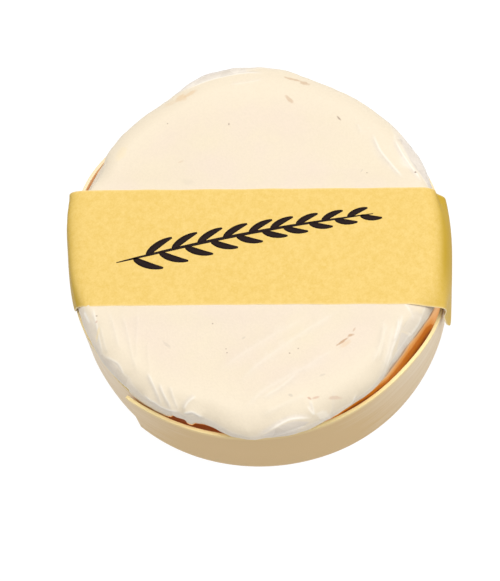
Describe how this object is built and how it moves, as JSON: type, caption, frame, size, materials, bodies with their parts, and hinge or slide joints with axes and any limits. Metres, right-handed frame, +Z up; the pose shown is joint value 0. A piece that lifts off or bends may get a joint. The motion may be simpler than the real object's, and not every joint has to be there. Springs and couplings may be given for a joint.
{
  "type": "wrapped soft goat cheese in a round veneer tray",
  "caption": "Round soft goat cheese in wrapping paper, standing in a shallow tray of wound veneer, with a band of golden card over the top whose two ends are stuck to the outside of the tray.",
  "frame": {"origin": "middle of the foot of the box round the whole part, on the surface that it stands on", "axes": "+Z up out of the tray, +X along the band towards the right of the picture, -Y towards the viewer"},
  "size_m": [0.1156, 0.1192, 0.0342],
  "materials": {
    "tray_board": "plain poplar board, cut thin",
    "veneer": "bare pale poplar veneer, fine straight grain, clean cut edges",
    "wrapping_paper": "cream waxed cheese paper, creased and folded, satin, faint moist patches",
    "band_card": "matt uncoated golden card with a faint mottle",
    "band_ink": "flat black printing ink"
  },
  "bodies": {
    "root": {"tray_base": "tray_board", "tray_hoop": "veneer", "wrapped_cheese": "wrapping_paper", "paper_band": "band_card"}
  },
  "joints": []
}
